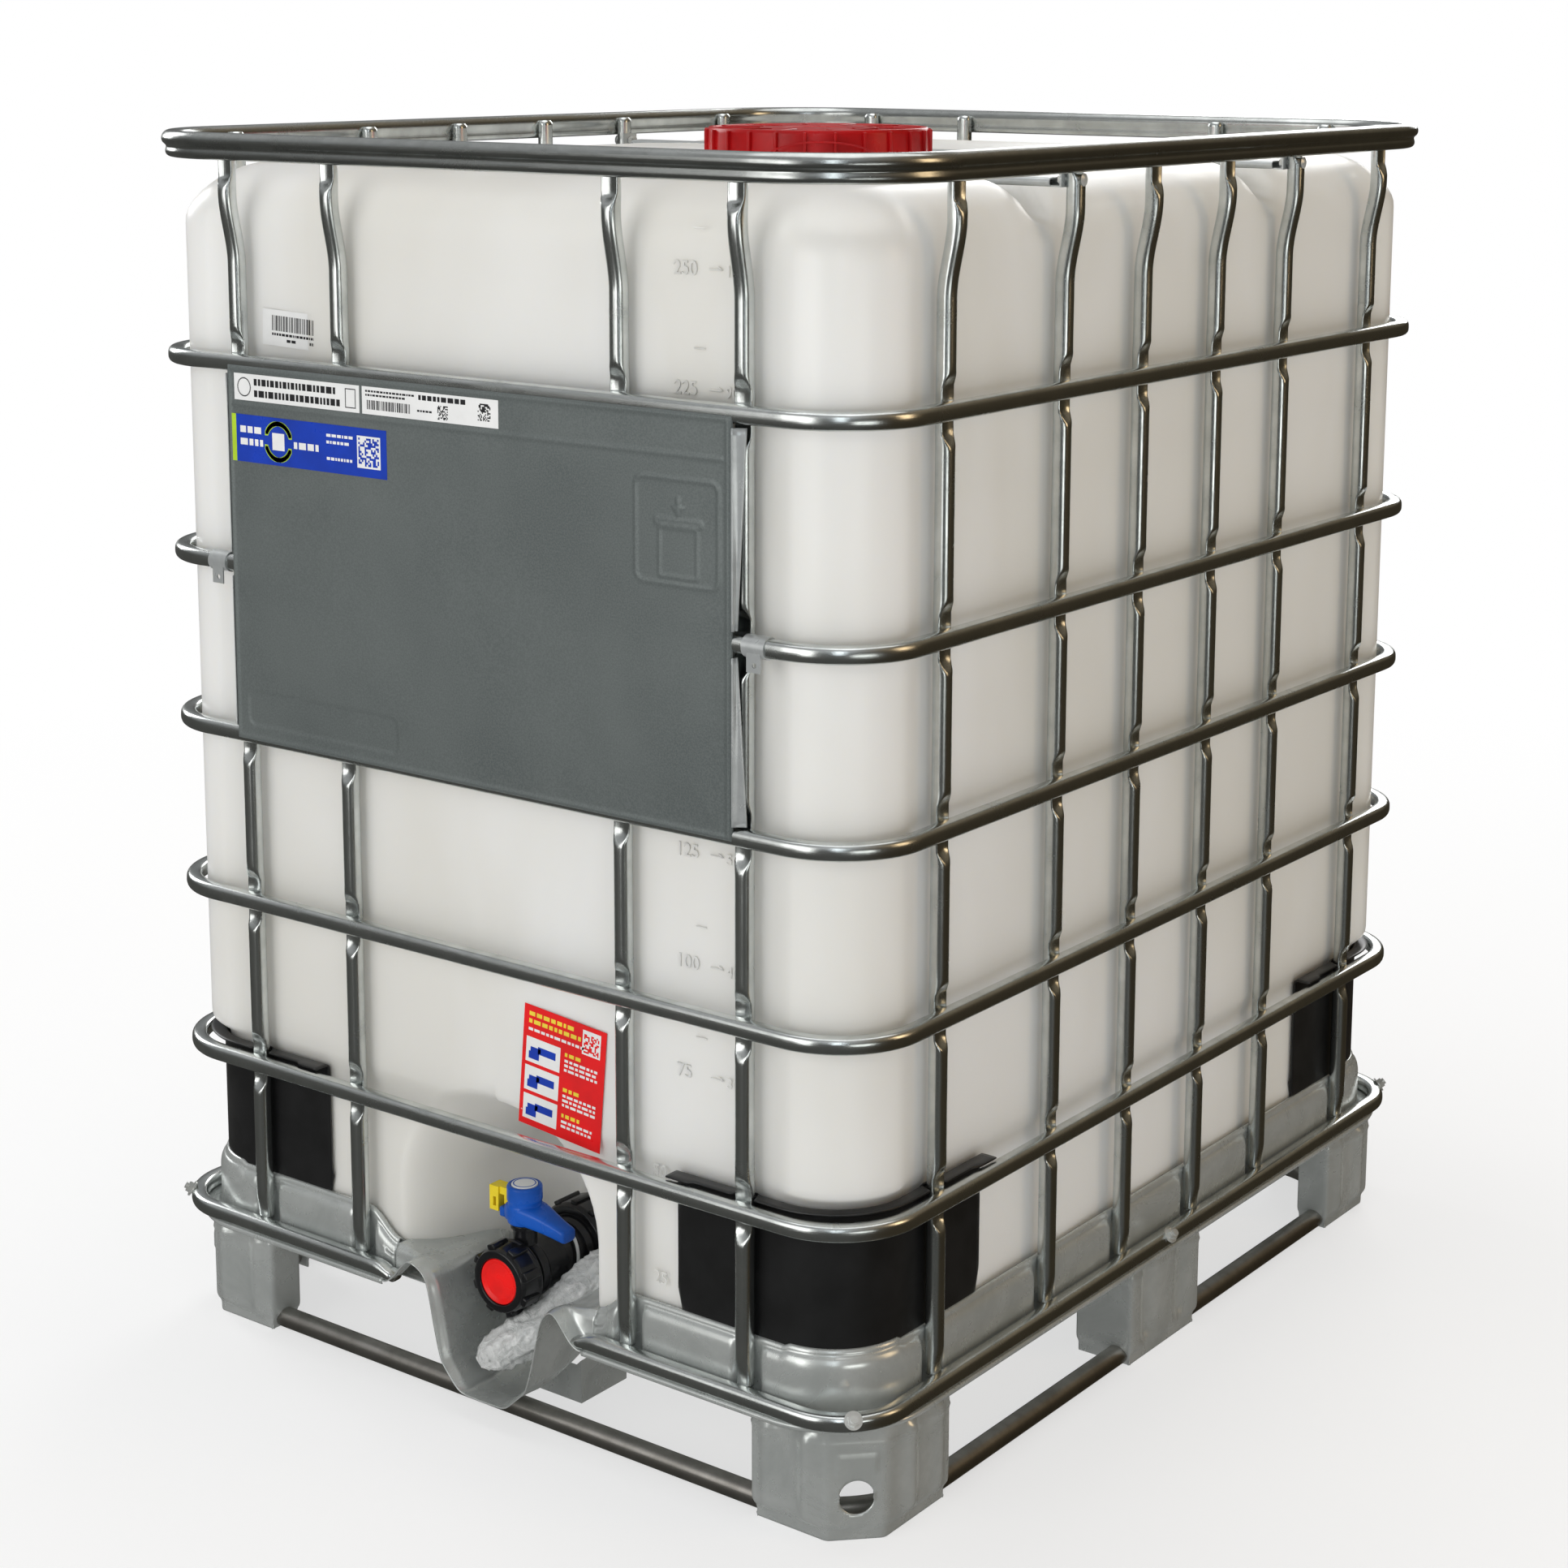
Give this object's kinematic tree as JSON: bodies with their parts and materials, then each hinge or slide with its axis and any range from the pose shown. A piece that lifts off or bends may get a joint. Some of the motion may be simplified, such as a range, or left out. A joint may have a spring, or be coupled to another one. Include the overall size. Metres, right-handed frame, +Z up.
{
  "type": "intermediate bulk container",
  "caption": "Caged intermediate bulk container: moulded plastic bottle in a welded tube cage on a steel pallet, with screw fill cap, lever valve and label plate.",
  "frame": {"origin": "centre of the footprint at ground level", "axes": "+Z up, -Y towards the discharge valve and label plate, +X to the right when facing the valve"},
  "size_m": [1, 1.2, 1.335],
  "materials": {
    "bottle": "translucent blow-moulded polyethylene, softly glossy",
    "cap_red": "moulded, satin",
    "strap_red": "thin printed film",
    "gasket": "matte",
    "valve_black": "moulded, glossy",
    "valve_grey": "moulded, satin",
    "handle_blue": "moulded, satin",
    "insert_white": "moulded, matte",
    "clip_yellow": "moulded, satin",
    "disc_red": "moulded, satin",
    "tie_white": "moulded, satin",
    "clear_film": "thin clear film, creased",
    "galvanised_tube": "galvanised, drawn tube, satin",
    "galvanised_sheet": "galvanised sheet, spangled, satin",
    "zinc_fixing": "zinc plated",
    "plate_grey": "coated sheet, matte",
    "label_white": "printed film",
    "label_blue": "printed film",
    "label_red": "printed film",
    "protector_black": "vacuum formed, soft sheen",
    "runner_steel": "galvanised tube, scuffed"
  },
  "bodies": {
    "body": {"inner_bottle": "bottle", "valve_body": "valve_black", "valve_union_nut": "valve_black", "valve_gasket": "gasket", "valve_tie": "tie_white", "protective_bag": "clear_film", "top_rim": "galvanised_tube", "ring_1": "galvanised_tube", "ring_2": "galvanised_tube", "ring_3": "galvanised_tube", "ring_4": "galvanised_tube", "ring_5": "galvanised_tube", "bottom_ring": "galvanised_tube", "front_uprights": "galvanised_tube", "rear_uprights": "galvanised_tube", "left_uprights": "galvanised_tube", "right_uprights": "galvanised_tube", "crossbar_front": "galvanised_tube", "crossbar_rear": "galvanised_tube", "crossbar_bolts": "zinc_fixing", "label_plate": "plate_grey", "plate_sleeves": "galvanised_tube", "plate_labels": "label_white", "service_label": "label_blue", "barcode_label": "label_white", "valve_label": "label_red", "protector_front_left": "protector_black", "protector_front_right": "protector_black", "protector_rear_left": "protector_black", "protector_rear_right": "protector_black", "deck_pan": "galvanised_sheet", "foot_front_left": "galvanised_sheet", "foot_front_right": "galvanised_sheet", "foot_rear_left": "galvanised_sheet", "foot_rear_right": "galvanised_sheet", "mid_foot_left": "galvanised_sheet", "mid_foot_right": "galvanised_sheet", "mid_foot_rear": "galvanised_sheet", "mid_foot_front": "galvanised_sheet", "runner_frame": "runner_steel", "ring_bolts": "zinc_fixing", "chute_rivet": "zinc_fixing"},
    "cap_seal": {"fill_cap_gasket": "gasket"},
    "cap": {"fill_cap": "cap_red", "vent_plug": "cap_red", "cap_seal_strap": "strap_red"},
    "lever": {"valve_handle": "handle_blue", "handle_cap_disc": "insert_white", "valve_disc_stem": "valve_grey"},
    "clip": {"safety_clip": "clip_yellow"},
    "outlet_seal": {"outlet_cap_disc": "disc_red", "outlet_gasket": "gasket"},
    "outlet_cap": {"outlet_cap_nut": "valve_black"}
  },
  "joints": [
    {"name": "cap_rise", "type": "slide", "parent": "body", "child": "cap_seal", "axis": [0, 0, 1], "range_m": [0, 0.043]},
    {"name": "cap_turn", "type": "hinge", "parent": "cap_seal", "child": "cap", "pos_m": [0, 0, 1.33], "axis": [0, 0, 1], "range_deg": [0, 1260]},
    {"name": "valve_turn", "type": "hinge", "parent": "body", "child": "lever", "pos_m": [0, -0.512, 0.15], "axis": [0, 0, -1], "range_deg": [0, 90]},
    {"name": "clip_lift", "type": "slide", "parent": "lever", "child": "clip", "axis": [0, 0, 1], "range_m": [0, 0.012]},
    {"name": "outlet_cap_travel", "type": "slide", "parent": "body", "child": "outlet_seal", "axis": [0, -1, 0], "range_m": [0, 0.0185]},
    {"name": "outlet_cap_turn", "type": "hinge", "parent": "outlet_seal", "child": "outlet_cap", "pos_m": [0, -0.556, 0.15], "axis": [0, -1, 0], "range_deg": [0, 1080]}
  ],
  "couplings": [
    {"joint": "cap_rise", "follows": "cap_turn", "m_per_rad": 0.0019099},
    {"joint": "outlet_cap_travel", "follows": "outlet_cap_turn", "m_per_rad": 0.00095493}
  ]
}
